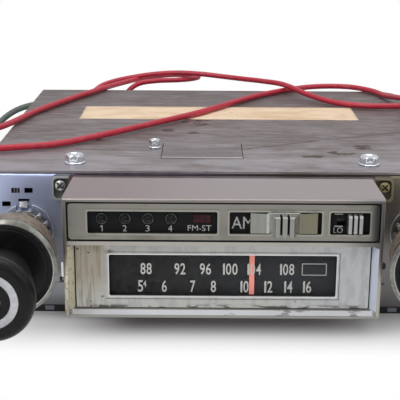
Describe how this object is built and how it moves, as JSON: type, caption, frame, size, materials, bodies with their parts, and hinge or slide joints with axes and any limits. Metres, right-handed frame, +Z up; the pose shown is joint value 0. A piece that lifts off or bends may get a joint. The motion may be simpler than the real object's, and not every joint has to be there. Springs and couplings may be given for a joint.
{
  "type": "in-dash eight-track tape player with radio",
  "caption": "In-dash eight-track tape deck and two-band radio: metal chassis, cast nosepiece with a hinged tape door and dial, stacked knobs on both shafts, leads behind.",
  "frame": {"origin": "centre of the chassis footprint on its flat base", "axes": "+X to the right as seen from the front, +Y from the knobs to the rear panel, +Z up"},
  "size_m": [0.2369, 0.3035, 0.0622],
  "materials": {
    "zinc_sheet": "worn passivated zinc plate with brown stains",
    "front_sheet": "worn passivated zinc plate",
    "screw_steel": "zinc plated steel",
    "paper": "aged cream paper",
    "chrome_cast": "worn chrome plate on a casting",
    "black_plastic": "black plastic",
    "lamp_lens": "smoked plastic lens",
    "stereo_red": "dark red plastic lens",
    "button_metal": "bright plated plastic",
    "inner_metal": "plain sheet metal",
    "door_metal": "brushed and tarnished",
    "dial_glass": "clear dial window",
    "pointer": "orange plastic",
    "shaft_brass": "nickelled brass",
    "nylon": "natural nylon",
    "solenoid": "steel frame with a lacquered coil",
    "board": "brown phenolic board with parts",
    "black_alloy": "black anodised",
    "transistor_metal": "nickel plate",
    "rubber": "black rubber",
    "lead_red": "red insulation",
    "lead_grey": "grey-green jacket",
    "socket_metal": "nickel plate"
  },
  "bodies": {
    "chassis": {"chassis_frame": "zinc_sheet", "front_plate": "front_sheet", "rear_panel": "zinc_sheet", "top_cover": "zinc_sheet", "bottom_cover": "zinc_sheet", "cover_screws": "screw_steel", "label_strip": "paper", "nosepiece": "chrome_cast", "nose_screws": "screw_steel", "control_panel": "chrome_cast", "legend_plate": "black_plastic", "track_lenses": "lamp_lens", "stereo_lens": "stereo_red", "slide_switches": "inner_metal", "door_pin": "screw_steel", "door_spring": "screw_steel", "shaft_plates": "screw_steel", "bushing_nuts": "screw_steel", "volume_control": "inner_metal", "program_switch": "black_plastic", "tuner_box": "inner_metal", "deck_plate": "inner_metal", "guide_rails": "inner_metal", "cartridge_switch": "black_plastic", "capstan_bearing": "shaft_brass", "motor": "inner_metal", "drive_belt": "rubber", "solenoid": "solenoid", "main_board": "board", "heat_sink": "black_alloy", "power_transistors": "transistor_metal", "lead_grommets": "rubber", "power_lead": "lead_red", "power_connector": "lead_red", "antenna_lead": "lead_grey", "antenna_socket": "socket_metal"},
    "tape_door": {"tape_door": "door_metal", "dial_glass": "dial_glass", "dial_backplate": "black_plastic"},
    "pointer": {"dial_pointer": "pointer"},
    "band_button": {"band_slider": "button_metal"},
    "distance_button": {"distance_slider": "button_metal"},
    "program_push": {"program_plunger": "nylon"},
    "volume": {"volume_shaft": "shaft_brass", "volume_knob": "black_plastic", "volume_inlay": "chrome_cast"},
    "tone": {"tone_sleeve": "shaft_brass", "tone_ring": "chrome_cast"},
    "tuning": {"tuning_shaft": "shaft_brass", "tuning_knob": "black_plastic", "tuning_inlay": "chrome_cast"},
    "balance": {"balance_sleeve": "shaft_brass", "balance_ring": "chrome_cast"},
    "flywheel": {"flywheel": "screw_steel", "capstan": "screw_steel"},
    "motor_rotor": {"motor_pulley": "screw_steel"},
    "cam": {"program_cam": "nylon"},
    "head_carriage": {"tape_head": "inner_metal", "head_bracket": "inner_metal"},
    "plunger": {"solenoid_plunger": "solenoid"}
  },
  "joints": [
    {"name": "door_hinge", "type": "hinge", "parent": "chassis", "child": "tape_door", "pos_m": [0, -0.10345, 0.0348], "axis": [1, 0, 0], "range_deg": [0, 90], "stiffness_Nm_per_rad": 0.006, "springref_deg": -34.38},
    {"name": "pointer_slide", "type": "slide", "parent": "tape_door", "child": "pointer", "axis": [1, 0, 0], "range_m": [-0.0416, 0.02]},
    {"name": "band_slide", "type": "slide", "parent": "chassis", "child": "band_button", "axis": [1, 0, 0], "range_m": [-0.0064, 0]},
    {"name": "distance_slide", "type": "slide", "parent": "chassis", "child": "distance_button", "axis": [1, 0, 0], "range_m": [-0.0042, 0]},
    {"name": "program_press", "type": "slide", "parent": "chassis", "child": "program_push", "axis": [0, 1, 0], "range_m": [0, 0.0025], "stiffness_N_per_m": 400, "springref_m": -0.002},
    {"name": "volume_turn", "type": "hinge", "parent": "program_push", "child": "volume", "pos_m": [-0.073, -0.09, 0.033], "axis": [0, 1, 0], "range_deg": [-150, 150]},
    {"name": "tone_turn", "type": "hinge", "parent": "chassis", "child": "tone", "pos_m": [-0.073, -0.09, 0.033], "axis": [0, 1, 0], "range_deg": [-135, 135]},
    {"name": "tuning_turn", "type": "hinge", "parent": "chassis", "child": "tuning", "pos_m": [0.073, -0.09, 0.033], "axis": [0, 1, 0], "range_deg": [-724, 348]},
    {"name": "balance_turn", "type": "hinge", "parent": "chassis", "child": "balance", "pos_m": [0.073, -0.09, 0.033], "axis": [0, 1, 0], "range_deg": [-135, 135]},
    {"name": "flywheel_spin", "type": "hinge", "parent": "chassis", "child": "flywheel", "pos_m": [0.032, -0.0128, 0.01], "axis": [0, 0, 1], "continuous": true},
    {"name": "motor_spin", "type": "hinge", "parent": "chassis", "child": "motor_rotor", "pos_m": [0.06, 0.052, 0.01], "axis": [0, 0, 1], "continuous": true},
    {"name": "cam_turn", "type": "hinge", "parent": "chassis", "child": "cam", "pos_m": [-0.014, 0.022, 0.012], "axis": [0, 0, 1], "range_deg": [0, 270]},
    {"name": "head_lift", "type": "slide", "parent": "chassis", "child": "head_carriage", "axis": [0, 0, 1], "range_m": [0, 0.0024]},
    {"name": "plunger_pull", "type": "slide", "parent": "chassis", "child": "plunger", "axis": [-1, 0, 0], "range_m": [0, 0.005], "stiffness_N_per_m": 60, "springref_m": -0.004}
  ],
  "couplings": [
    {"joint": "pointer_slide", "follows": "tuning_turn", "m_per_rad": 0.00329},
    {"joint": "motor_spin", "follows": "flywheel_spin", "ratio": 5.4},
    {"joint": "cam_turn", "follows": "head_lift", "rad_per_m": 1963.5}
  ]
}
